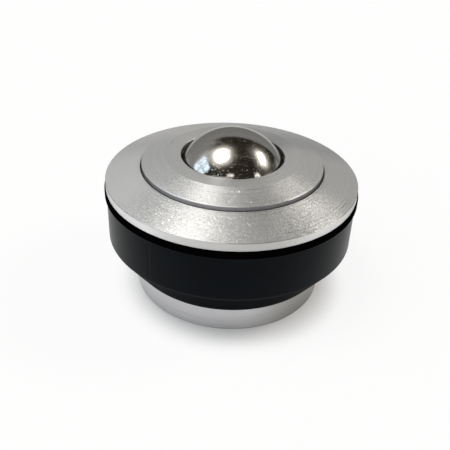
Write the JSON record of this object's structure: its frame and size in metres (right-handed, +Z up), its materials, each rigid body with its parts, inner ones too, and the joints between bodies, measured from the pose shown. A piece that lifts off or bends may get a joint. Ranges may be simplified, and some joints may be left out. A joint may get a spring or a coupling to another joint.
{
  "type": "ball transfer unit",
  "caption": "Spring-loaded ball transfer unit: a steel load ball on a bed of support balls, in a turned aluminium housing with a conical flange and a black mounting ring.",
  "frame": {"origin": "centre of the housing's foot, on the face that it stands on", "axes": "+Z up along the unit's axis, towards the load ball; it is round, so +X and +Y are any two directions across it"},
  "size_m": [0.0556, 0.0556, 0.0366],
  "materials": {
    "turned_aluminium": "fine turned",
    "base_aluminium": "smooth satin",
    "polished_steel": "mirror polished",
    "bearing_steel": "ground",
    "spring_steel": "oiled",
    "black_nylon": "smooth moulded",
    "felt": "dense felt"
  },
  "bodies": {
    "housing": {"housing_cup": "base_aluminium", "top_flange": "turned_aluminium", "mounting_ring": "black_nylon", "lower_thrust_washer": "bearing_steel", "disc_spring_1": "spring_steel", "disc_spring_2": "spring_steel", "disc_spring_3": "spring_steel", "disc_spring_4": "spring_steel"},
    "carriage": {"upper_thrust_washer": "bearing_steel", "ball_carrier": "base_aluminium", "race_cup": "bearing_steel", "cap_ring": "turned_aluminium", "seal_washer": "bearing_steel", "felt_seal": "felt"},
    "ball_bed": {"pole_ball": "polished_steel", "low_support_balls": "polished_steel", "middle_support_balls": "polished_steel", "high_support_balls": "polished_steel", "equator_support_balls": "polished_steel"},
    "axis_pair": {"axis_balls": "polished_steel"},
    "load_ball": {"load_ball": "polished_steel"}
  },
  "joints": [
    {"name": "carriage_slide", "type": "slide", "parent": "housing", "child": "carriage", "axis": [0, 0, 1], "range_m": [-0.002, 0], "stiffness_N_per_m": 40000, "springref_m": 0.002, "deforming": ["disc_spring_1", "disc_spring_2", "disc_spring_3", "disc_spring_4"]},
    {"name": "roll_about_z", "type": "hinge", "parent": "carriage", "child": "ball_bed", "pos_m": [0, 0, 0.0239], "axis": [0, 0, 1], "continuous": true},
    {"name": "roll_about_y", "type": "hinge", "parent": "ball_bed", "child": "axis_pair", "pos_m": [0, 0, 0.0239], "axis": [0, 1, 0], "continuous": true},
    {"name": "roll_about_x", "type": "hinge", "parent": "axis_pair", "child": "load_ball", "pos_m": [0, 0, 0.0239], "axis": [1, 0, 0], "continuous": true}
  ]
}
